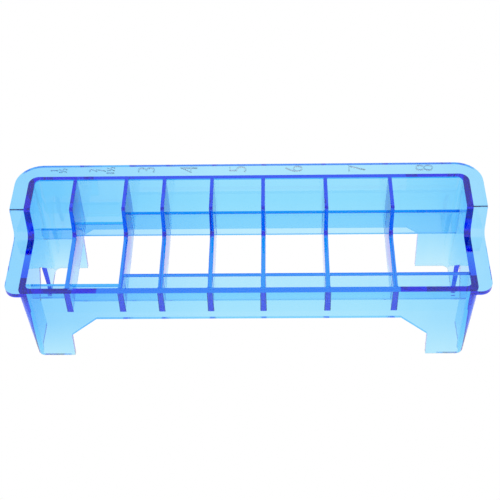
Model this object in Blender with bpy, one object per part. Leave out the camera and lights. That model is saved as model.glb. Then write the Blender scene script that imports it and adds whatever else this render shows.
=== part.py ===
"""Eight-bay compartment rack, moulded in clear blue plastic, modelled section by section.

The rack is one moulding. Each of its sections (walls, legs, lip, dividers, ribs and
bay numbers) is its own solid here, with a hairline between neighbours.
Metres, +Z up, origin at the middle of the footprint, the front of the rack at -Y.
"""
import math

import bmesh
import bpy
from mathutils import Matrix, Vector

MM = 0.001

# Driving dimensions
OVERALL_WIDTH = 215 * MM
OVERALL_DEPTH = 65 * MM
LIP_SIDE = 6.0 * MM
LIP_REAR = 6.2 * MM
LIP_THICKNESS = 2.4 * MM
FRONT_RIM = 45.9 * MM
REAR_RIM = 61.4 * MM
STEP_BACK = 38 * MM
STEP_CREST_RADIUS = 1.8 * MM
STEP_FOOT_RADIUS = 3.6 * MM
STEP_LEAN = 6.3
WALL = 3.1 * MM
FRONT_WALL = 2.9 * MM
DIVIDER = 1.7 * MM
RIB = 1.9 * MM
THIN_RIB = 1.3 * MM
SHELF = 31.1 * MM
GAP = 0.3 * MM

# Bay widths between divider faces, left to right
BAY_WIDTHS = [17.85 * MM, 22 * MM, 15.9 * MM, 20.2 * MM, 21.8 * MM, 26.8 * MM, 27.9 * MM, 32.45 * MM]

# Ribs: how far each rib's outer face stands from the front wall's face, and its top
FRONT_RIB = 9.5 * MM
REAR_RIB = 47.8 * MM
BAY_1_RIB_INSET = 1.9 * MM
BAY_1_RIB_TOP = 37.7 * MM
BAY_2_RIB_TOP = 39.2 * MM

# Legs and the arches between them
LEG_TOP = 17.0 * MM
LEG_INNER = 81.3 * MM
LEG_FLARE = 0.035
FRONT_ARCH_TOP = 27.4 * MM
FRONT_ARCH_HALF = 68.5 * MM
FRONT_ARCH_FOOT = 15.3 * MM
REAR_ARCH_TOP = 28.8 * MM
REAR_ARCH_HALF = 75.2 * MM
REAR_ARCH_FOOT = 24.4 * MM
END_ARCH_START = 22.3 * MM
END_ARCH_END = 40.3 * MM
END_ARCH_TOP = 27.4 * MM
END_ARCH_FLAT = 0.6 * MM

# The end walls reach this far round the corners
CORNER = 6.0 * MM

# Plan radii of the walls, outside and inside, and of the lip: in front, then behind
WALL_RADII = (4.0 * MM, 4.5 * MM)
INNER_RADII = (2.0 * MM, 2.6 * MM)
LIP_RADII = (5.5 * MM, 12.0 * MM)
CORNER_STEPS = 5
FOOT_STEPS = 6
CREST_STEPS = 4

# Draft: how far each face leans in between its rim and the foot
END_LEAN = 1.8 * MM
END_INNER_LEAN = 0.7 * MM
FRONT_LEAN = 0.9 * MM
FRONT_INNER_LEAN = 0.2 * MM
REAR_LEAN = 1.9 * MM
REAR_INNER_LEAN = 0.7 * MM
DIVIDER_LEAN = 0.25 * MM

# Bay numbers on the rear lip
NUMBER_SIZE = 11.4 * MM
SMALL_NUMBER_SIZE = 5.8 * MM
NUMBER_NARROWING = 0.76
NUMBER_BACK = 61.4 * MM
END_NUMBER_SHIFT = 1.0 * MM
SMALL_NUMBER_SHIFT = 3.2 * MM
NUMBER_HEIGHT = 0.4 * MM
DIGIT_RESOLUTION = 2
MERGE = 0.001 * MM

# Worked out from the dimensions above
FRONT = -OVERALL_DEPTH / 2
HALF_WIDTH = OVERALL_WIDTH / 2 - LIP_SIDE
WALLS_DEPTH = OVERALL_DEPTH - LIP_REAR
INNER_HALF = HALF_WIDTH - WALL
REAR_INNER = FRONT + WALLS_DEPTH - WALL
SPLIT_X = HALF_WIDTH - CORNER
BEYOND = 50 * MM
SPARE = 1 * MM


def clear_scene():
    for item in list(bpy.data.objects):
        bpy.data.objects.remove(item)


def clear_blue(name, colour):
    """The tinted clear plastic, as a plain Principled material."""
    material = bpy.data.materials.new(name)
    material.use_nodes = True
    shader = material.node_tree.nodes["Principled BSDF"]
    shader.inputs["Base Color"].default_value = (*colour, 1.0)
    shader.inputs["Roughness"].default_value = 0.08
    shader.inputs["Metallic"].default_value = 0.0
    return material


def add_object(name, bm, material):
    """Turn a bmesh into a named object, with its faces pointing out."""
    bmesh.ops.recalc_face_normals(bm, faces=bm.faces)
    mesh = bpy.data.meshes.new(name)
    bm.to_mesh(mesh)
    bm.free()
    item = bpy.data.objects.new(name, mesh)
    bpy.context.collection.objects.link(item)
    if material:
        mesh.materials.append(material)
    return item


def cutter(name, bm):
    """A guide solid for Boolean modifiers, left out of the build."""
    item = add_object(name, bm, None)
    item.hide_render = True
    item.display_type = "WIRE"
    return item


def arc(centre, radius, start, end, steps):
    """Points on an arc, its angles in degrees."""
    points = []
    for step in range(steps + 1):
        angle = math.radians(start + (end - start) * step / steps)
        points.append((centre[0] + radius * math.cos(angle), centre[1] + radius * math.sin(angle)))
    return points


def box_bmesh(low, high):
    bm = bmesh.new()
    size = [b - a for a, b in zip(low, high)]
    middle = [(a + b) / 2 for a, b in zip(low, high)]
    matrix = Matrix.Translation(middle) @ Matrix.Diagonal((*size, 1.0))
    bmesh.ops.create_cube(bm, size=1.0, matrix=matrix)
    return bm


def loft(outlines):
    """A closed solid through outlines of equal length, each a list of 3-D points."""
    bm = bmesh.new()
    rings = []
    for outline in outlines:
        rings.append([bm.verts.new(point) for point in outline])
    count = len(rings[0])
    for lower, upper in zip(rings, rings[1:]):
        for index in range(count):
            after = (index + 1) % count
            bm.faces.new((lower[index], lower[after], upper[after], upper[index]))
    bm.faces.new(rings[0])
    bm.faces.new(rings[-1])
    return bm


def side_prism(profile, low_x, high_x):
    """A (y, z) profile drawn out along X."""
    return loft([[(x, y, z) for y, z in profile] for x in (low_x, high_x)])


def front_prism(profile, low_y, high_y):
    """An (x, z) profile drawn out along Y."""
    return loft([[(x, y, z) for x, z in profile] for y in (low_y, high_y)])


def plan_outline(half_x, low_y, high_y, radii):
    """A rounded rectangle seen from above, with its own radius at the front and the rear."""
    front, rear = radii
    points = []
    points += arc((half_x - front, low_y + front), front, -90, 0, CORNER_STEPS)
    points += arc((half_x - rear, high_y - rear), rear, 0, 90, CORNER_STEPS)
    points += arc((rear - half_x, high_y - rear), rear, 90, 180, CORNER_STEPS)
    points += arc((front - half_x, low_y + front), front, 180, 270, CORNER_STEPS)
    return points


def step_line(drop=0.0):
    """The rim seen from the side, front to rear, or the same line a little below it."""
    crest = STEP_CREST_RADIUS - drop
    foot = STEP_FOOT_RADIUS + drop
    lean = math.radians(STEP_LEAN)
    radii = STEP_CREST_RADIUS + STEP_FOOT_RADIUS
    rise = REAR_RIM - FRONT_RIM - radii * (1 - math.sin(lean))
    run = radii * math.cos(lean) + rise * math.tan(lean)
    crest_centre = (FRONT + STEP_BACK, REAR_RIM - STEP_CREST_RADIUS)
    foot_centre = (FRONT + STEP_BACK - run, FRONT_RIM + STEP_FOOT_RADIUS)
    line = arc(foot_centre, foot, -90, -STEP_LEAN, FOOT_STEPS)
    if crest > 0:
        line += arc(crest_centre, crest, 180 - STEP_LEAN, 90, CREST_STEPS)
    else:
        line.append((crest_centre[0] - crest * math.tan(math.radians(45 - STEP_LEAN / 2)), REAR_RIM - drop))
    return line


def above_rim():
    """Everything above the rim's low front, down to the step."""
    line = [(FRONT - BEYOND, FRONT_RIM)] + step_line()
    line += [(FRONT + OVERALL_DEPTH + BEYOND, REAR_RIM)]
    line += [(FRONT + OVERALL_DEPTH + BEYOND, REAR_RIM + BEYOND), (FRONT - BEYOND, REAR_RIM + BEYOND)]
    return cutter("above_rim", side_prism(line, -OVERALL_WIDTH, OVERALL_WIDTH))


def outer_skin():
    """The walls' outside: straight from the rear rim to the front rim, then leaning in to the foot."""
    middle = REAR_LEAN * (REAR_RIM - FRONT_RIM) / REAR_RIM
    rows = [(-SPARE, END_LEAN, FRONT_LEAN, REAR_LEAN), (FRONT_RIM, 0, 0, middle), (REAR_RIM + SPARE, 0, 0, 0)]
    outlines = []
    for z, lean_x, lean_y, lean_rear in rows:
        rear = FRONT + WALLS_DEPTH - lean_rear
        plan = plan_outline(HALF_WIDTH - lean_x, FRONT + lean_y, rear, WALL_RADII)
        outlines.append([(x, y, z) for x, y in plan])
    return loft(outlines)


def inner_skin():
    """The walls' inside, open at the top and the bottom."""
    low = (-2 * SPARE, END_INNER_LEAN, FRONT_INNER_LEAN, REAR_INNER_LEAN)
    rows = [low, (REAR_RIM + 2 * SPARE, 0, 0, 0)]
    outlines = []
    for z, lean_x, lean_y, lean_rear in rows:
        front = FRONT + FRONT_WALL + lean_y
        plan = plan_outline(INNER_HALF - lean_x, front, REAR_INNER - lean_rear, INNER_RADII)
        outlines.append([(x, y, z) for x, y in plan])
    return cutter("inner_skin", loft(outlines))


def arch(half_top, top_z, foot_z):
    """The opening between two legs, seen from the front. The legs narrow a little towards the foot."""
    foot_x = LEG_INNER + LEG_FLARE * (foot_z + BEYOND)
    right = [(half_top, top_z), (LEG_INNER, foot_z), (foot_x, -BEYOND)]
    left = [(-x, z) for x, z in reversed(right)]
    return right + left


def arches():
    """The four openings between the legs: front, rear and one through both ends."""
    middle_y = FRONT + WALLS_DEPTH / 2
    front_shape = arch(FRONT_ARCH_HALF, FRONT_ARCH_TOP, FRONT_ARCH_FOOT)
    rear_shape = arch(REAR_ARCH_HALF, REAR_ARCH_TOP, REAR_ARCH_FOOT)
    front = cutter("front_arch", front_prism(front_shape, FRONT - BEYOND, middle_y))
    rear = cutter("rear_arch", front_prism(rear_shape, middle_y, middle_y + BEYOND * 2))
    start = FRONT + END_ARCH_START
    end = FRONT + END_ARCH_END
    apex = (start + end) / 2
    end_shape = [(start, -BEYOND), (start, LEG_TOP), (apex - END_ARCH_FLAT / 2, END_ARCH_TOP)]
    end_shape += [(apex + END_ARCH_FLAT / 2, END_ARCH_TOP), (end, LEG_TOP), (end, -BEYOND)]
    ends = cutter("end_arch", side_prism(end_shape, -OVERALL_WIDTH, OVERALL_WIDTH))
    floor = box_bmesh((-OVERALL_WIDTH, FRONT - BEYOND, -BEYOND), (OVERALL_WIDTH, BEYOND, 0))
    below = cutter("below_foot", floor)
    return [front, rear, ends, below]


def boolean(item, other, operation):
    modifier = item.modifiers.new(other.name, "BOOLEAN")
    modifier.operation = operation
    modifier.object = other


def shell_section(name, cutters, low, high, material):
    """The stretch of the walls that lies between two corners of space."""
    item = add_object(name, outer_skin(), material)
    for other in cutters:
        boolean(item, other, "DIFFERENCE")
    boolean(item, cutter(name + "_region", box_bmesh(low, high)), "INTERSECT")
    return item


def add_walls(cutters, material):
    """Four walls above the legs. The end walls carry the upright corners."""
    base = LEG_TOP + GAP / 2
    top = REAR_RIM + BEYOND
    inner = SPLIT_X - GAP / 2
    outer = SPLIT_X + GAP / 2
    middle_y = FRONT + WALLS_DEPTH / 2
    far = OVERALL_WIDTH
    shell_section("front_wall", cutters, (-inner, FRONT - BEYOND, base), (inner, middle_y, top), material)
    shell_section("rear_wall", cutters, (-inner, middle_y, base), (inner, middle_y + BEYOND, top), material)
    shell_section("left_end_wall", cutters, (-far, -BEYOND * 2, base), (-outer, BEYOND * 2, top), material)
    shell_section("right_end_wall", cutters, (outer, -BEYOND * 2, base), (far, BEYOND * 2, top), material)


def add_legs(cutters, material):
    """Four L-shaped corner legs."""
    top = LEG_TOP - GAP / 2
    middle_y = FRONT + WALLS_DEPTH / 2
    for depth, low_y, high_y in (("front", -BEYOND * 2, middle_y), ("rear", middle_y, BEYOND * 2)):
        for side, low_x, high_x in (("left", -OVERALL_WIDTH, -BEYOND), ("right", BEYOND, OVERALL_WIDTH)):
            low = (low_x, low_y, -BEYOND)
            high = (high_x, high_y, top)
            shell_section(f"{depth}_{side}_leg", cutters, low, high, material)


def lip_section(name, plan, low, high, material):
    """A stretch of the lip: a bent plate under the rim line, trimmed to the lip's plan."""
    upper = [(FRONT, FRONT_RIM)] + step_line() + [(FRONT + OVERALL_DEPTH, REAR_RIM)]
    lower = [(FRONT, FRONT_RIM - LIP_THICKNESS)] + step_line(LIP_THICKNESS)
    lower += [(FRONT + OVERALL_DEPTH, REAR_RIM - LIP_THICKNESS)]
    profile = upper + list(reversed(lower))
    item = add_object(name, side_prism(profile, low[0], high[0]), material)
    boolean(item, plan, "INTERSECT")
    boolean(item, cutter(name + "_region", box_bmesh(low, high)), "INTERSECT")
    return item


def add_lip(material):
    """The lip runs along both ends and the rear, and stops flush with the front wall."""
    far_y = FRONT + OVERALL_DEPTH
    half = OVERALL_WIDTH / 2
    outline = plan_outline(half, FRONT, far_y, LIP_RADII)
    plan = cutter("lip_plan", loft([[(x, y, z) for x, y in outline] for z in (-BEYOND, BEYOND * 2)]))
    edge = HALF_WIDTH + GAP
    for name, low_x, high_x in (("left_lip", -half - SPARE, -edge), ("right_lip", edge, half + SPARE)):
        lip_section(name, plan, (low_x, -BEYOND, 0), (high_x, BEYOND, BEYOND * 2), material)
    low = (-edge + GAP, FRONT + WALLS_DEPTH + GAP, 0)
    high = (edge - GAP, BEYOND, BEYOND * 2)
    lip_section("rear_lip", plan, low, high, material)


def bay_edges():
    """The left and right edge of each bay."""
    edges = []
    x = -INNER_HALF
    for width in BAY_WIDTHS:
        edges.append((x, x + width))
        x += width + DIVIDER
    return edges


def divider_centres():
    return [right + DIVIDER / 2 for _, right in bay_edges()[:-1]]


def add_dividers(material):
    """Seven upright dividers with the rim's own step, thicker towards the shelf line."""
    front = FRONT + FRONT_WALL + FRONT_INNER_LEAN + GAP
    rear = REAR_INNER - GAP
    rear_foot = rear - REAR_INNER_LEAN * (REAR_RIM - SHELF) / REAR_RIM
    profile = [(front, SHELF), (front, FRONT_RIM)] + step_line() + [(rear, REAR_RIM), (rear_foot, SHELF)]
    for number, centre in enumerate(divider_centres(), start=1):
        sides = []
        for side in (-1, 1):
            ring = []
            for y, z in profile:
                lean = DIVIDER_LEAN * (REAR_RIM - z) / (REAR_RIM - SHELF)
                ring.append((centre + side * (DIVIDER / 2 + lean), y, z))
            sides.append(ring)
        add_object(f"divider_{number}", loft(sides), material)


def add_ribs(material):
    """Two upright ribs across each bay. The two narrowest guards' bays have lower ones."""
    for number, (left, right) in enumerate(bay_edges(), start=1):
        thickness = RIB
        top = FRONT_RIM
        front_y = FRONT + FRONT_RIB
        rear_y = FRONT + REAR_RIB
        if number == 1:
            thickness = THIN_RIB
            top = BAY_1_RIB_TOP
            front_y += BAY_1_RIB_INSET
            rear_y -= BAY_1_RIB_INSET
        if number == 2:
            top = BAY_2_RIB_TOP
        low_x = left + GAP
        high_x = right - GAP
        if number == 1:
            low_x += END_INNER_LEAN
        if number == len(BAY_WIDTHS):
            high_x -= END_INNER_LEAN
        profile = [(low_x + DIVIDER_LEAN, SHELF), (high_x - DIVIDER_LEAN, SHELF), (high_x, top), (low_x, top)]
        for name, y in (("front", front_y), ("rear", rear_y)):
            add_object(f"{name}_rib_{number}", front_prism(profile, y, y + thickness), material)


def digit_bmesh(digit, size):
    """One raised digit, centred, its top towards -X."""
    curve = bpy.data.curves.new(f"digit_{digit}", "FONT")
    curve.body = str(digit)
    curve.size = size
    curve.extrude = NUMBER_HEIGHT / 2
    curve.resolution_u = DIGIT_RESOLUTION
    guide = bpy.data.objects.new(curve.name, curve)
    bpy.context.collection.objects.link(guide)
    bpy.context.view_layer.update()
    shape = guide.evaluated_get(bpy.context.evaluated_depsgraph_get())
    bm = bmesh.new()
    bm.from_mesh(bpy.data.meshes.new_from_object(shape))
    bpy.data.objects.remove(guide)
    bmesh.ops.remove_doubles(bm, verts=bm.verts, dist=MERGE)
    bmesh.ops.translate(bm, verts=bm.verts, vec=-box_centre(bm))
    bmesh.ops.scale(bm, verts=bm.verts, vec=(NUMBER_NARROWING, 1, 1))
    bmesh.ops.rotate(bm, verts=bm.verts, matrix=Matrix.Rotation(math.radians(90), 3, "Z"))
    return bm


def add_numbers(material):
    """Raised bay numbers along the rear lip. Bays 1 and 2 share theirs with a fraction below it."""
    y = FRONT + NUMBER_BACK
    end_shifts = {1: END_NUMBER_SHIFT, len(BAY_WIDTHS): -END_NUMBER_SHIFT}
    for digit, (left, right) in enumerate(bay_edges(), start=1):
        small = digit <= 2
        size = SMALL_NUMBER_SIZE if small else NUMBER_SIZE
        item = add_object(f"number_{digit}", digit_bmesh(digit, size), material)
        x = (left + right) / 2 + end_shifts.get(digit, 0) - (SMALL_NUMBER_SHIFT if small else 0)
        item.location = (x, y, REAR_RIM + GAP + NUMBER_HEIGHT / 2)


def box_centre(bm):
    """The middle of a bmesh's box, which centres a glyph better than its type metrics do."""
    low = [min(vert.co[axis] for vert in bm.verts) for axis in range(3)]
    high = [max(vert.co[axis] for vert in bm.verts) for axis in range(3)]
    return Vector([(a + b) / 2 for a, b in zip(low, high)])


def main():
    clear_scene()
    wall_blue = clear_blue("wall_blue", (0.33, 0.66, 0.95))
    lip_blue = clear_blue("lip_blue", (0.38, 0.72, 0.96))
    divider_blue = clear_blue("divider_blue", (0.12, 0.42, 0.95))
    number_blue = clear_blue("number_blue", (0.25, 0.55, 0.80))
    cutters = [inner_skin(), above_rim()] + arches()
    add_walls(cutters, wall_blue)
    add_legs(cutters, wall_blue)
    add_lip(lip_blue)
    add_dividers(divider_blue)
    add_ribs(divider_blue)
    add_numbers(number_blue)


main()
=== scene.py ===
"""Looks of a clear blue eight-bay compartment rack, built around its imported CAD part.

Metres, +Z up, the front of the rack at -Y. Sizes come from the frame or from the values below.
"""

import math

import bmesh
import bpy
from mathutils import Matrix, Vector


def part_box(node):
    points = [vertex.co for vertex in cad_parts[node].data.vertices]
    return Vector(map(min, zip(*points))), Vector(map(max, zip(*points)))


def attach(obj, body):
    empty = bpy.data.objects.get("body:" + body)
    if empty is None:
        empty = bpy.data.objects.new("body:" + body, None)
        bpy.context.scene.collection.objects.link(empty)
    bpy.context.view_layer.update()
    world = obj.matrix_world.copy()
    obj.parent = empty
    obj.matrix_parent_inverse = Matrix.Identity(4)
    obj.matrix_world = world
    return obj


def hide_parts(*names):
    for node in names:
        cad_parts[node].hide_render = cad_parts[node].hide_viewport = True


bl_info = {
    "name": "Compartment rack",
    "version": (1, 0, 0),
    "blender": (4, 5, 0),
    "location": "3D View > Sidebar > Rack",
    "description": "Models a clear blue moulded rack with eight numbered bays",
    "category": "Object",
}

MM = 0.001

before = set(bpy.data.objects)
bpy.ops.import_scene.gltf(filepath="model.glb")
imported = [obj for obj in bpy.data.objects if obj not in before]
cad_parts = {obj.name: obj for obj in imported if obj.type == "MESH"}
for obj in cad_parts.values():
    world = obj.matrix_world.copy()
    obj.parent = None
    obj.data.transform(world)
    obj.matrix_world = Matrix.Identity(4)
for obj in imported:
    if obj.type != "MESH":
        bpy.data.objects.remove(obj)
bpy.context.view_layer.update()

# Places read from the frame
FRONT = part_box("front_wall")[0].y
FRONT_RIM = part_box("front_wall")[1].z
REAR_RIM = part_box("rear_wall")[1].z
LIP_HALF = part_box("right_lip")[1].x
LIP_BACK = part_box("rear_lip")[1].y
WALL_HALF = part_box("right_end_wall")[1].x
WALL_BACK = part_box("rear_wall")[1].y
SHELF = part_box("divider_1")[0].z
DIVIDERS = [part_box(f"divider_{n}") for n in range(1, 8)]

# The step in the rim, seen from the side
CREST_BACK = 38.0 * MM
STEP_LEAN = math.radians(6.3)

# How far the walls lean in towards the foot
END_LEAN = 1.8 * MM
FRONT_LEAN = 0.9 * MM
REAR_LEAN = 1.9 * MM
INNER_LEAN = 0.7 * MM
FRONT_INNER_LEAN = 0.2 * MM
DIVIDER_FLARE = 0.25 * MM
# How much wider a divider is on each side where it meets the front wall
FILLET = 0.35 * MM
# Under the dividers the walls are a little thinner: by how much, and over what height that comes in
SHELF_RELIEF = (0.15 * MM, 0.45 * MM)

# Plan radii of the walls, outside and inside, and of the lip
WALL_RADII = (4.0 * MM, 4.5 * MM)
INNER_RADII = (2.0 * MM, 2.6 * MM)
LIP_RADII = (5.5 * MM, 12.0 * MM)
CORNER_SEGMENTS = 8
FOOT_SEGMENTS = 12
CREST_SEGMENTS = 8

# Edges sharper than this are rounded, and faces that meet at less than this are shaded as one
ROUNDED_OVER = math.radians(35)
SMOOTH_UNDER = math.radians(50)

# Legs and the arches between them: half width at the top, height, height of the leg's corner
FRONT_ARCH = (68.5 * MM, 27.4 * MM, 15.3 * MM)
REAR_ARCH = (75.2 * MM, 28.8 * MM, 24.4 * MM)
LEG_INNER = 81.3 * MM
LEG_FLARE = 0.55 * MM
# The pointed arch of each end: where it starts and ends behind the front, and the height of its sides
END_ARCH = (22.3 * MM, 40.3 * MM, 17.0 * MM)
END_ARCH_TOP = 27.4 * MM
END_ARCH_FLAT = 0.6 * MM

# Bay labels on the rear lip, read with their tops to the left. Single digits are larger,
# and all are drawn in strokes thinner than the font's
LABELS = ("1\n½", "2\n/\n1½", "3", "4", "5", "6", "7", "8")
LABEL_BACK = 61.4 * MM
DIGIT_SIZE = 12.3 * MM
DIGIT_THINNING = 0.29 * MM
STACK_SIZE = 5.4 * MM
STACK_THINNING = 0.08 * MM
STACK_SPACING = 0.75
LABEL_NARROWING = 0.76
LABEL_RESOLUTION = 6
END_LABEL_SHIFTS = {1: 1.0 * MM, 8: -0.45 * MM}

# The plastic ran into the mould at this X and is palest up to the first distance from it,
# deepest from the second
GATE_X = 20 * MM
PALE_TO = 20 * MM
DEEP_FROM = 130 * MM
# The legs get paler below this height
PALE_LEGS = 25 * MM

# The plastic: its skin where it is palest and where it is deepest, streaks of the melt, smears of
# handling with the roughness they range over, waves in the polish, and the grain and roughness of
# the spark eroded numbers
TINT_DEPTH = 3 * MM
PALE_SKIN = "#FFFBFF"
DEEP_SKIN = "#CBE6FF"
STREAK_WIDTH = 7 * MM
STREAK_STRETCH = 0.15
STREAK_DEPTH = 0.12
SMEAR_WIDTH = 15 * MM
POLISH = (0.0, 0.05)
WAVE_DEPTH = 0.008 * MM
ETCH_GRAIN = 0.15 * MM
ETCH = (0.25, 0.45)

# Neighbouring pieces of the moulding stand this far apart
HAIR = 0.02 * MM
# Cutters reach this far past what they cut
CLEAR = 20 * MM
# Points closer than this count as being in the same place
TOUCH = 0.01 * MM
# Heights that agree to this many decimals of a metre count as one
PLACES = 5

# Stage: the table lies a little below the feet, and the card between the two; the card keeps the glowing
# table dark under the feet as a painted contact shadow
TABLE_SIZE = 4.0
TABLE_DROP = 0.2 * MM
SHADE_CARD_DROP = 0.1 * MM
CAMERA_SENSOR = 36
CAMERA_LENS = 80.66
CAMERA_PLACE = (13.2 * MM, FRONT - 313.6 * MM, 422.3 * MM)
CAMERA_TURN = math.radians(2.07)
CAMERA_TILT = math.radians(42.0)
CAMERA_ROLL = math.radians(-1.92)
LIGHT_BOUNCES = 48


# ---------------------------------------------------------------- properties


class RackSizes(bpy.types.PropertyGroup):
    """Sizes a user would change"""

    wall: bpy.props.FloatProperty(
        name="Wall", description="Thickness of the end and rear walls at the rim",
        default=3.1 * MM, unit="LENGTH")
    front_wall: bpy.props.FloatProperty(
        name="Front wall", description="Thickness of the front wall at the rim",
        default=2.9 * MM, unit="LENGTH")
    lip: bpy.props.FloatProperty(
        name="Lip", description="Thickness of the lip", default=2.4 * MM, unit="LENGTH")
    crest_radius: bpy.props.FloatProperty(
        name="Crest radius", description="Radius at the top of the step", default=1.8 * MM, unit="LENGTH")
    foot_radius: bpy.props.FloatProperty(
        name="Foot radius", description="Radius at the foot of the step", default=3.6 * MM, unit="LENGTH")
    edge_radius: bpy.props.FloatProperty(
        name="Edge radius", description="Small radius on the moulded edges", default=0.25 * MM, unit="LENGTH")
    number_height: bpy.props.FloatProperty(
        name="Number height", description="How far the numbers stand up", default=0.4 * MM, unit="LENGTH")


class RackColours(bpy.types.PropertyGroup):
    """Colours a user would change"""

    tint: bpy.props.StringProperty(
        name="Tint", description="sRGB hex colour of white light behind 3 mm of the plastic",
        default="#A3E8FE")
    table: bpy.props.StringProperty(
        name="Table", description="sRGB hex colour of the lit table", default="#FFFFFF")


# ---------------------------------------------------------------- modelling


def activate(item):
    """Leave one object selected and active."""
    bpy.ops.object.select_all(action="DESELECT")
    item.select_set(True)
    bpy.context.view_layer.objects.active = item


def start_edit(item):
    activate(item)
    bpy.ops.object.mode_set(mode="EDIT")


def end_edit():
    bpy.ops.object.mode_set(mode="OBJECT")


def block(name, low, high):
    """A block between two corners, as the start of a piece."""
    bpy.ops.object.select_all(action="DESELECT")
    low = Vector(low)
    high = Vector(high)
    bpy.ops.mesh.primitive_cube_add(size=1, location=(low + high) / 2, scale=high - low)
    item = bpy.context.object
    item.name = name
    bpy.ops.object.transform_apply(location=True, rotation=False, scale=True)
    return item


def pick(kind, test):
    """Select the vertices, edges or faces that pass a test, and nothing else."""
    bpy.ops.mesh.select_mode(type={"verts": "VERT", "edges": "EDGE", "faces": "FACE"}[kind])
    bpy.ops.mesh.select_all(action="DESELECT")
    mesh = bpy.context.object.data
    bm = bmesh.from_edit_mesh(mesh)
    bm.normal_update()
    found = [element for element in getattr(bm, kind) if test(element)]
    if not found:
        raise RuntimeError(f"{bpy.context.object.name}: no {kind} found to work on")
    for element in found:
        element.select_set(True)
    bm.select_flush_mode()
    bmesh.update_edit_mesh(mesh)


def near(a, b):
    return abs(a - b) < TOUCH


def combine(item, other, operation):
    """Cut, intersect or join one solid with another, which is used up."""
    activate(item)
    modifier = item.modifiers.new("combine", "BOOLEAN")
    modifier.operation = operation
    modifier.object = other
    bpy.ops.object.modifier_apply(modifier=modifier.name)
    bpy.data.objects.remove(other)


def is_upright(edge):
    return abs(edge.verts[0].co.z - edge.verts[1].co.z) > MM


def faces_up(face):
    return face.normal.z > 0.9


def rounded_block(name, low, high, radii):
    """A block whose four upright edges are rounded, with one radius in front and one behind."""
    item = block(name, low, high)
    middle = (low[1] + high[1]) / 2
    start_edit(item)
    pick("edges", lambda e: is_upright(e) and e.verts[0].co.y < middle)
    bpy.ops.mesh.bevel(offset=radii[0], segments=CORNER_SEGMENTS, affect="EDGES")
    pick("edges", lambda e: is_upright(e) and near(e.verts[0].co.y, high[1]))
    bpy.ops.mesh.bevel(offset=radii[1], segments=CORNER_SEGMENTS, affect="EDGES")
    end_edit()
    return item


def stepped_block(name, low, high, drop=0.0):
    """A block under the rim line: low in front, then the step up to the rear rim.

    drop lowers it evenly, measured square to the line.
    """
    sizes = bpy.context.scene.rack_sizes
    half_turn = math.pi / 4 - STEP_LEAN / 2
    rise = REAR_RIM - FRONT_RIM
    shift = drop * (1 / math.cos(STEP_LEAN) - math.tan(STEP_LEAN))
    crest_y = FRONT + CREST_BACK - sizes.crest_radius * math.tan(half_turn) + shift
    foot_y = crest_y - rise * math.tan(STEP_LEAN)
    rim = FRONT_RIM - drop
    top = REAR_RIM - drop
    item = block(name, low, (high[0], high[1], rim))
    start_edit(item)
    pick("faces", lambda f: True)
    bpy.ops.mesh.bisect(plane_co=(0, foot_y, 0), plane_no=(0, 1, 0))
    pick("faces", lambda f: faces_up(f) and f.calc_center_median().y > foot_y)
    bpy.ops.mesh.extrude_region_move(TRANSFORM_OT_translate={"value": (0, 0, rise)})
    pick("verts", lambda v: near(v.co.y, foot_y) and near(v.co.z, top))
    bpy.ops.transform.translate(value=(0, crest_y - foot_y, 0))
    pick("edges", lambda e: all(near(v.co.y, foot_y) and near(v.co.z, rim) for v in e.verts))
    bpy.ops.mesh.bevel(
        offset=(sizes.foot_radius + drop) * math.tan(half_turn), segments=FOOT_SEGMENTS, affect="EDGES")
    if sizes.crest_radius > drop:
        pick("edges", lambda e: all(near(v.co.y, crest_y) and near(v.co.z, top) for v in e.verts))
        bpy.ops.mesh.bevel(
            offset=(sizes.crest_radius - drop) * math.tan(half_turn), segments=CREST_SEGMENTS, affect="EDGES")
    end_edit()
    return item


def lean_in(item, foot_z, lean_x, lean_front, lean_rear):
    """Draw the lowest ring of points in, so that the sides lean."""
    box = [Vector(corner) for corner in item.bound_box]
    half_x = max(corner.x for corner in box)
    low_y = min(corner.y for corner in box)
    depth = max(corner.y for corner in box) - low_y
    start_edit(item)
    pick("verts", lambda v: near(v.co.z, foot_z))
    bpy.ops.transform.resize(
        value=((half_x - lean_x) / half_x, (depth - lean_front - lean_rear) / depth, 1),
        center_override=(0, low_y, foot_z))
    bpy.ops.transform.translate(value=(0, lean_front, 0))
    end_edit()


def soften(item, radius):
    """Round every sharp edge a little, as a mould does, and shade the round stretches smooth."""
    activate(item)
    modifier = item.modifiers.new("soft edges", "BEVEL")
    modifier.width = radius
    modifier.segments = 2
    modifier.limit_method = "ANGLE"
    modifier.angle_limit = ROUNDED_OVER
    bpy.ops.object.modifier_apply(modifier=modifier.name)
    bpy.ops.object.shade_smooth_by_angle(angle=SMOOTH_UNDER)
    flat = item.modifiers.new("keep flats flat", "WEIGHTED_NORMAL")
    # 100 makes the large faces decide, so that the light isn't bent near their edges
    flat.weight = 100
    flat.keep_sharp = True
    bpy.ops.object.modifier_apply(modifier=flat.name)


def arch(name, shape, low_y, high_y):
    """The opening between two legs, as a cutter."""
    half_top, top, corner = shape
    item = block(name, (-LEG_INNER, low_y, -CLEAR), (LEG_INNER, high_y, corner))
    start_edit(item)
    pick("faces", faces_up)
    bpy.ops.mesh.extrude_region_move(TRANSFORM_OT_translate={"value": (0, 0, top - corner)})
    bpy.ops.transform.resize(value=(half_top / LEG_INNER, 1, 1), center_override=(0, low_y, top))
    pick("verts", lambda v: near(v.co.z, -CLEAR))
    flare = LEG_FLARE * (corner + CLEAR) / corner
    bpy.ops.transform.resize(
        value=((LEG_INNER + flare) / LEG_INNER, 1, 1), center_override=(0, low_y, -CLEAR))
    end_edit()
    return item


def finish_piece(item, material, nodes):
    """Give a piece its material and tie it to the frame."""
    item.data.materials.clear()
    item.data.materials.append(material)
    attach(item, "root")
    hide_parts(*nodes)


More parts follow.
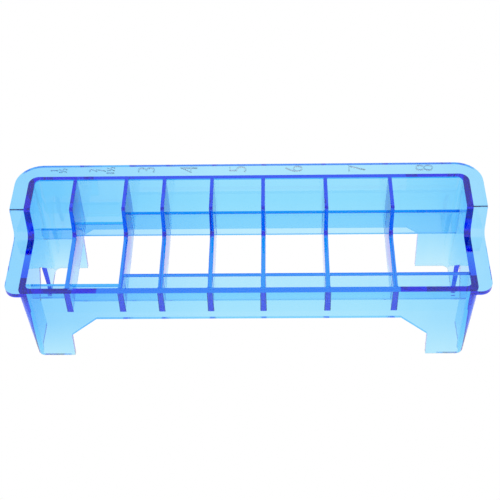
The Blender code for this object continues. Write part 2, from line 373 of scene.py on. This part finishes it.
def copy_of(item, name, shift):
    """A copy with its own mesh, moved along."""
    activate(item)
    bpy.ops.object.duplicate(linked=False)
    copy = bpy.context.object
    copy.name = name
    copy.location += Vector(shift)
    bpy.ops.object.transform_apply(location=True, rotation=False, scale=False)
    return copy


# ---------------------------------------------------------------- materials


def linear(code):
    """An sRGB hex colour as linear values."""
    values = [int(code[index:index + 2], 16) / 255 for index in (1, 3, 5)]
    return [v / 12.92 if v <= 0.04045 else ((v + 0.055) / 1.055) ** 2.4 for v in values]


def add_node(tree, kind, settings=(), inputs=(), links=()):
    """A node with its settings, its socket values and its incoming links."""
    node = tree.nodes.new(kind)
    for name, value in dict(settings).items():
        setattr(node, name, value)
    for name, value in dict(inputs).items():
        node.inputs[name].default_value = value
    for name, source in dict(links).items():
        tree.links.new(source, node.inputs[name])
    return node


def clear_blue_polystyrene():
    """Transparent polystyrene, injection moulded and polished: glassy, and a deeper blue where the light
    passes through more of it, as along a wall or an edge."""
    found = bpy.data.materials.get("clear_blue_polystyrene")
    if found:
        return found
    material = bpy.data.materials.new("clear_blue_polystyrene")
    material.use_nodes = True
    tree = material.node_tree
    shader = tree.nodes["Principled BSDF"]
    output = tree.nodes["Material Output"]
    shader.inputs["IOR"].default_value = 1.57
    shader.inputs["Transmission Weight"].default_value = 1.0
    place = add_node(tree, "ShaderNodeTexCoord").outputs["Object"]
    # The tint runs deeper towards the far ends of the moulding and paler down its thin legs,
    # in faint streaks that rise with the melt
    axes = add_node(tree, "ShaderNodeSeparateXYZ", links={"Vector": place})
    offset = add_node(tree, "ShaderNodeMath", {"operation": "SUBTRACT"}, {1: GATE_X}, {0: axes.outputs["X"]})
    distance = add_node(tree, "ShaderNodeMath", {"operation": "ABSOLUTE"}, links={0: offset.outputs[0]})
    deeper = add_node(
        tree, "ShaderNodeMapRange", {"interpolation_type": "SMOOTHSTEP"},
        {"From Min": PALE_TO, "From Max": DEEP_FROM}, {"Value": distance.outputs[0]})
    height = add_node(
        tree, "ShaderNodeMapRange", inputs={"From Min": 0.0, "From Max": PALE_LEGS},
        links={"Value": axes.outputs["Z"]})
    faded = add_node(
        tree, "ShaderNodeMath", {"operation": "MULTIPLY"}, links={0: deeper.outputs[0], 1: height.outputs[0]})
    upright = add_node(
        tree, "ShaderNodeMapping", inputs={"Scale": (1, 1, STREAK_STRETCH)}, links={"Vector": place})
    streaks = add_node(
        tree, "ShaderNodeTexNoise", inputs={"Scale": 1 / STREAK_WIDTH, "Detail": 2.0},
        links={"Vector": upright.outputs["Vector"]})
    spread = add_node(
        tree, "ShaderNodeMapRange", inputs={"To Min": -STREAK_DEPTH, "To Max": STREAK_DEPTH},
        links={"Value": streaks.outputs[0]})
    amount = add_node(
        tree, "ShaderNodeMath", {"operation": "ADD", "use_clamp": True},
        links={0: faded.outputs[0], 1: spread.outputs[0]})
    tint = add_node(
        tree, "ShaderNodeMix", {"data_type": "RGBA"},
        {"A": (*linear(PALE_SKIN), 1), "B": (*linear(DEEP_SKIN), 1)}, {"Factor": amount.outputs[0]})
    tree.links.new(tint.outputs["Result"], shader.inputs["Base Color"])
    # Handling has dulled the polish here and there
    smears = add_node(
        tree, "ShaderNodeTexNoise", inputs={"Scale": 1 / SMEAR_WIDTH, "Detail": 4.0}, links={"Vector": place})
    polish = add_node(
        tree, "ShaderNodeMapRange", inputs={"To Min": POLISH[0], "To Max": POLISH[1]},
        links={"Value": smears.outputs[0]})
    tree.links.new(polish.outputs["Result"], shader.inputs["Roughness"])
    # The mould was polished by hand, which leaves waves a few millimetres across and microns deep
    waves = add_node(
        tree, "ShaderNodeBump", inputs={"Strength": 1.0, "Distance": WAVE_DEPTH},
        links={"Height": streaks.outputs[0]})
    tree.links.new(waves.outputs["Normal"], shader.inputs["Normal"])
    # The tint is what this depth of plastic leaves of white light
    left = linear(bpy.context.scene.rack_colours.tint)
    absorbed = [-math.log(max(value, 0.001)) / TINT_DEPTH for value in left]
    # A high density with a pale colour absorbs the same under either of the usual formulas
    density = 4 * max(absorbed)
    colour = [1 - value / density for value in absorbed]
    volume = add_node(tree, "ShaderNodeVolumeAbsorption", inputs={"Color": (*colour, 1), "Density": density})
    tree.links.new(volume.outputs["Volume"], output.inputs["Volume"])
    return material


def etched_blue_polystyrene():
    """The same plastic where the mould was spark eroded, as in its numbers: a fine matt skin that scatters
    light, so that thin lines read darker than the clear lip round them."""
    material = clear_blue_polystyrene().copy()
    material.name = "etched_blue_polystyrene"
    tree = material.node_tree
    shader = tree.nodes["Principled BSDF"]
    place = tree.nodes["Texture Coordinate"].outputs["Object"]
    grain = add_node(tree, "ShaderNodeTexNoise", inputs={"Scale": 1 / ETCH_GRAIN}, links={"Vector": place})
    matt = add_node(
        tree, "ShaderNodeMapRange", inputs={"To Min": ETCH[0], "To Max": ETCH[1]},
        links={"Value": grain.outputs[0]})
    tree.links.new(matt.outputs["Result"], shader.inputs["Roughness"])
    return material


def contact_shade_card():
    """Matt white card under the feet, put there as a painted contact shadow: where it lies the table doesn't
    glow, and the card gets only the light that comes down through the legs.
    """
    material = bpy.data.materials.new("matt_white_card")
    material.use_nodes = True
    shader = material.node_tree.nodes["Principled BSDF"]
    shader.inputs["Base Color"].default_value = (0.92, 0.92, 0.92, 1)
    shader.inputs["Roughness"].default_value = 0.9
    return material


def lit_table():
    """A sheet of opal acrylic lit from below: an even white with no shadow."""
    material = bpy.data.materials.new("lit_opal_acrylic")
    material.use_nodes = True
    tree = material.node_tree
    tree.nodes.remove(tree.nodes["Principled BSDF"])
    colour = (*linear(bpy.context.scene.rack_colours.table), 1)
    light = add_node(tree, "ShaderNodeEmission", inputs={"Color": colour, "Strength": 1.0})
    tree.links.new(light.outputs["Emission"], tree.nodes["Material Output"].inputs["Surface"])
    return material


# ---------------------------------------------------------------- operators


class RACK_OT_tray(bpy.types.Operator):
    """The walls on their four legs, with the lip along both ends and the rear"""

    bl_idname = "rack.tray"
    bl_label = "Tray"

    def execute(self, context):
        sizes = context.scene.rack_sizes
        above = REAR_RIM + CLEAR
        walls = rounded_block("tray", (-WALL_HALF, FRONT, 0), (WALL_HALF, WALL_BACK, above), WALL_RADII)
        start_edit(walls)
        bpy.ops.mesh.select_all(action="SELECT")
        bpy.ops.mesh.bisect(plane_co=(0, 0, FRONT_RIM), plane_no=(0, 0, 1))
        end_edit()
        lean_in(walls, 0, END_LEAN, FRONT_LEAN, REAR_LEAN)
        reach = LIP_HALF + CLEAR
        under = stepped_block("under_rim", (-reach, FRONT - CLEAR, -CLEAR), (reach, LIP_BACK + CLEAR, 0))
        combine(walls, under, "INTERSECT")
        combine(walls, self.lip(sizes, reach), "UNION")
        combine(walls, self.inside(sizes, above), "DIFFERENCE")
        middle = (FRONT + WALL_BACK) / 2
        combine(walls, arch("front_arch", FRONT_ARCH, FRONT - CLEAR, middle), "DIFFERENCE")
        combine(walls, arch("rear_arch", REAR_ARCH, middle, LIP_BACK + CLEAR), "DIFFERENCE")
        combine(walls, self.end_arch(reach), "DIFFERENCE")
        soften(walls, sizes.edge_radius)
        nodes = ["front_wall", "rear_wall", "left_end_wall", "right_end_wall"]
        nodes += ["left_lip", "rear_lip", "right_lip"]
        nodes += [f"{depth}_{side}_leg" for depth in ("front", "rear") for side in ("left", "right")]
        finish_piece(walls, clear_blue_polystyrene(), nodes)
        return {"FINISHED"}

    def inside(self, sizes, above):
        """The space inside the walls, as a cutter that is a little wider below the dividers."""
        low = (sizes.wall - WALL_HALF, FRONT + sizes.front_wall, -CLEAR)
        high = (WALL_HALF - sizes.wall, WALL_BACK - sizes.wall, above)
        inside = rounded_block("inside", low, high, INNER_RADII)
        # The leans are those at the foot, and the cutter goes on below it
        longer = 1 + CLEAR / REAR_RIM
        lean_in(inside, -CLEAR, INNER_LEAN * longer, FRONT_INNER_LEAN * longer, INNER_LEAN * longer)
        relief, slope = SHELF_RELIEF
        start_edit(inside)
        for height in (SHELF, SHELF - slope):
            bpy.ops.mesh.select_all(action="SELECT")
            bpy.ops.mesh.bisect(plane_co=(0, 0, height), plane_no=(0, 0, 1))
        pick("verts", lambda v: v.co.z < SHELF - slope / 2)
        bpy.ops.transform.resize(
            value=(1 + relief / high[0], 1 + 2 * relief / (high[1] - low[1]), 1),
            center_override=(0, (low[1] + high[1]) / 2, SHELF))
        end_edit()
        return inside

    def end_arch(self, reach):
        """The pointed opening between the legs of both ends, as one cutter."""
        start, end, corner = END_ARCH
        item = block("end_arch", (-reach, FRONT + start, -CLEAR), (reach, FRONT + end, corner))
        start_edit(item)
        pick("faces", faces_up)
        bpy.ops.mesh.extrude_region_move(TRANSFORM_OT_translate={"value": (0, 0, END_ARCH_TOP - corner)})
        bpy.ops.transform.resize(
            value=(1, END_ARCH_FLAT / (end - start), 1),
            center_override=(0, FRONT + (start + end) / 2, END_ARCH_TOP))
        end_edit()
        return item

    def lip(self, sizes, reach):
        """A plate of even thickness that follows the rim line, cut to the lip's plan."""
        back = LIP_BACK + CLEAR
        plate = stepped_block("lip", (-reach, FRONT - CLEAR, 0), (reach, back, 0))
        low = (-reach - CLEAR, FRONT - 2 * CLEAR, -CLEAR)
        high = (reach + CLEAR, back + CLEAR, 0)
        combine(plate, stepped_block("below_lip", low, high, sizes.lip), "DIFFERENCE")
        plan = rounded_block(
            "lip_plan", (-LIP_HALF, FRONT, -CLEAR), (LIP_HALF, LIP_BACK, REAR_RIM + CLEAR), LIP_RADII)
        combine(plate, plan, "INTERSECT")
        return plate


class RACK_OT_dividers(bpy.types.Operator):
    """Seven upright dividers whose tops follow the rim"""

    bl_idname = "rack.dividers"
    bl_label = "Dividers"

    def execute(self, context):
        sizes = context.scene.rack_sizes
        low, high = DIVIDERS[0]
        front = FRONT + sizes.front_wall + FRONT_INNER_LEAN / 2 + HAIR
        rear = WALL_BACK - sizes.wall - HAIR
        middle = (low.x + high.x) / 2
        half = (high.x - low.x) / 2 - DIVIDER_FLARE
        first = stepped_block("divider_1_clear", (middle - half, front, SHELF), (middle + half, rear, 0))
        heights = {round(vertex.co.z, PLACES) for vertex in first.data.vertices}
        start_edit(first)
        for height in sorted(heights):
            flare = DIVIDER_FLARE * (REAR_RIM - height) / (REAR_RIM - SHELF)
            pick("verts", lambda v: round(v.co.z, PLACES) == height)
            bpy.ops.transform.resize(value=(1 + flare / half, 1, 1), center_override=(middle, 0, SHELF))
        pick("verts", lambda v: near(v.co.z, SHELF) and near(v.co.y, rear))
        bpy.ops.transform.translate(value=(0, -INNER_LEAN * (1 - SHELF / REAR_RIM), 0))
        bpy.ops.mesh.select_all(action="SELECT")
        bpy.ops.mesh.bisect(plane_co=(0, front + 2 * FILLET, 0), plane_no=(0, 1, 0))
        pick("verts", lambda v: v.co.y - front < FILLET)
        bpy.ops.transform.resize(value=(1 + FILLET / half, 1, 1), center_override=(middle, 0, SHELF))
        end_edit()
        soften(first, sizes.edge_radius)
        copies = [first]
        for number, box in enumerate(DIVIDERS[1:], start=2):
            copies.append(copy_of(first, f"divider_{number}_clear", (box[0].x - low.x, 0, 0)))
        for number, item in enumerate(copies, start=1):
            finish_piece(item, clear_blue_polystyrene(), [f"divider_{number}"])
        return {"FINISHED"}


class RACK_OT_ribs(bpy.types.Operator):
    """Two upright ribs across each bay"""

    bl_idname = "rack.ribs"
    bl_label = "Ribs"

    def execute(self, context):
        sizes = context.scene.rack_sizes
        for number in range(1, 9):
            for place in ("front", "rear"):
                node = f"{place}_rib_{number}"
                low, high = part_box(node)
                left = DIVIDERS[number - 2][1].x if number > 1 else sizes.wall - WALL_HALF
                right = DIVIDERS[number - 1][0].x if number < 8 else WALL_HALF - sizes.wall
                ends = (left + HAIR - DIVIDER_FLARE / 2, right - HAIR + DIVIDER_FLARE / 2)
                item = block(node + "_clear", (ends[0], low.y, low.z), (ends[1], high.y, high.z))
                start_edit(item)
                pick("verts", lambda v: near(v.co.z, low.z))
                reach = (ends[1] - ends[0]) / 2
                bpy.ops.transform.resize(
                    value=((reach - DIVIDER_FLARE / 2) / reach, 1, 1),
                    center_override=((ends[0] + ends[1]) / 2, 0, low.z))
                end_edit()
                soften(item, sizes.edge_radius)
                finish_piece(item, clear_blue_polystyrene(), [node])
        return {"FINISHED"}


class RACK_OT_numbers(bpy.types.Operator):
    """The raised bay numbers along the rear lip"""

    bl_idname = "rack.numbers"
    bl_label = "Numbers"

    def execute(self, context):
        sizes = context.scene.rack_sizes
        material = etched_blue_polystyrene()
        edges = [sizes.wall - WALL_HALF]
        edges += [(low.x + high.x) / 2 for low, high in DIVIDERS]
        edges += [WALL_HALF - sizes.wall]
        for number, body in enumerate(LABELS, start=1):
            middle = (edges[number - 1] + edges[number]) / 2 + END_LABEL_SHIFTS.get(number, 0)
            bpy.ops.object.select_all(action="DESELECT")
            bpy.ops.object.text_add(location=(0, 0, 0))
            item = bpy.context.object
            item.data.body = body
            item.data.align_x = "CENTER"
            digit = len(body) == 1
            item.data.size = DIGIT_SIZE if digit else STACK_SIZE
            item.data.space_line = STACK_SPACING
            item.data.extrude = sizes.number_height / 2
            item.data.resolution_u = LABEL_RESOLUTION
            item.data.offset = -(DIGIT_THINNING if digit else STACK_THINNING)
            bpy.ops.object.convert(target="MESH")
            item = bpy.context.object
            item.name = f"number_{number}_etched"
            start_edit(item)
            bpy.ops.mesh.select_all(action="SELECT")
            bpy.ops.mesh.remove_doubles(threshold=TOUCH / 10)
            bpy.ops.mesh.normals_make_consistent(inside=False)
            end_edit()
            centre = sum((Vector(corner) for corner in item.bound_box), Vector()) / 8
            item.data.transform(Matrix.Translation(-centre))
            item.scale = (LABEL_NARROWING, 1, 1)
            item.rotation_euler = (0, 0, math.pi / 2)
            item.location = (middle, FRONT + LABEL_BACK, REAR_RIM + HAIR + sizes.number_height / 2)
            bpy.ops.object.transform_apply(location=True, rotation=True, scale=True)
            finish_piece(item, material, [f"number_{number}"])
        return {"FINISHED"}


class RACK_OT_stage(bpy.types.Operator):
    """A lit white table, a card under the feet as a painted contact shadow, an even white surround and the
    camera
    """

    bl_idname = "rack.stage"
    bl_label = "Stage"

    def execute(self, context):
        scene = context.scene
        bpy.ops.object.select_all(action="DESELECT")
        bpy.ops.mesh.primitive_plane_add(size=TABLE_SIZE, location=(0, 0, -TABLE_DROP))
        floor = context.object
        floor.name = "lit_table"
        floor.data.materials.append(lit_table())
        # Painted contact shadow: a card under the feet, where the glowing table would otherwise show no shade
        self.foot_card()
        world = bpy.data.worlds.new("even_white")
        world.use_nodes = True
        world.node_tree.nodes["Background"].inputs["Color"].default_value = (1, 1, 1, 1)
        world.node_tree.nodes["Background"].inputs["Strength"].default_value = 1.0
        scene.world = world
        data = bpy.data.cameras.new("camera")
        data.sensor_width = CAMERA_SENSOR
        data.lens = CAMERA_LENS
        camera = bpy.data.objects.new("camera", data)
        scene.collection.objects.link(camera)
        turn = Matrix.Rotation(CAMERA_TURN, 4, "Z")
        tilt = Matrix.Rotation(CAMERA_TILT, 4, "X")
        roll = Matrix.Rotation(CAMERA_ROLL, 4, "Z")
        camera.matrix_world = Matrix.Translation(CAMERA_PLACE) @ turn @ tilt @ roll
        scene.camera = camera
        scene.view_settings.view_transform = "Standard"
        # Light crosses many faces on its way through the plastic
        scene.cycles.max_bounces = LIGHT_BOUNCES
        scene.cycles.transmission_bounces = LIGHT_BOUNCES
        scene.cycles.glossy_bounces = LIGHT_BOUNCES
        return {"FINISHED"}

    def foot_card(self):
        """Four patches of card exactly under the feet, copied from their undersides, as a painted contact
        shadow in the glowing table.
        """
        item = copy_of(bpy.data.objects["tray"], "foot_card", (0, 0, 0))
        item.parent = None
        for key in list(item.keys()):
            del item[key]
        start_edit(item)
        pick("faces", lambda f: not (f.normal.z < -0.99 and f.calc_center_median().z < TOUCH))
        bpy.ops.mesh.delete(type="FACE")
        bpy.ops.mesh.select_all(action="SELECT")
        bpy.ops.transform.translate(value=(0, 0, -SHADE_CARD_DROP))
        end_edit()
        item.data.materials.clear()
        item.data.materials.append(contact_shade_card())
        return item


class RACK_PT_panel(bpy.types.Panel):
    """Lists the sizes, the colours and the pieces"""

    bl_label = "Compartment rack"
    bl_idname = "RACK_PT_panel"
    bl_space_type = "VIEW_3D"
    bl_region_type = "UI"
    bl_category = "Rack"

    def draw(self, context):
        for group in (context.scene.rack_sizes, context.scene.rack_colours):
            for name in group.__annotations__:
                self.layout.prop(group, name)
        for operator in OPERATORS:
            self.layout.operator(operator.bl_idname)


OPERATORS = (RACK_OT_tray, RACK_OT_dividers, RACK_OT_ribs, RACK_OT_numbers, RACK_OT_stage)
CLASSES = (RackSizes, RackColours, *OPERATORS, RACK_PT_panel)


def register():
    for item in CLASSES:
        bpy.utils.register_class(item)
    bpy.types.Scene.rack_sizes = bpy.props.PointerProperty(type=RackSizes)
    bpy.types.Scene.rack_colours = bpy.props.PointerProperty(type=RackColours)


def unregister():
    del bpy.types.Scene.rack_colours
    del bpy.types.Scene.rack_sizes
    for item in reversed(CLASSES):
        bpy.utils.unregister_class(item)


def main():
    register()
    bpy.ops.rack.tray()
    bpy.ops.rack.dividers()
    bpy.ops.rack.ribs()
    bpy.ops.rack.numbers()
    bpy.ops.rack.stage()


if __name__ == "__main__":
    main()
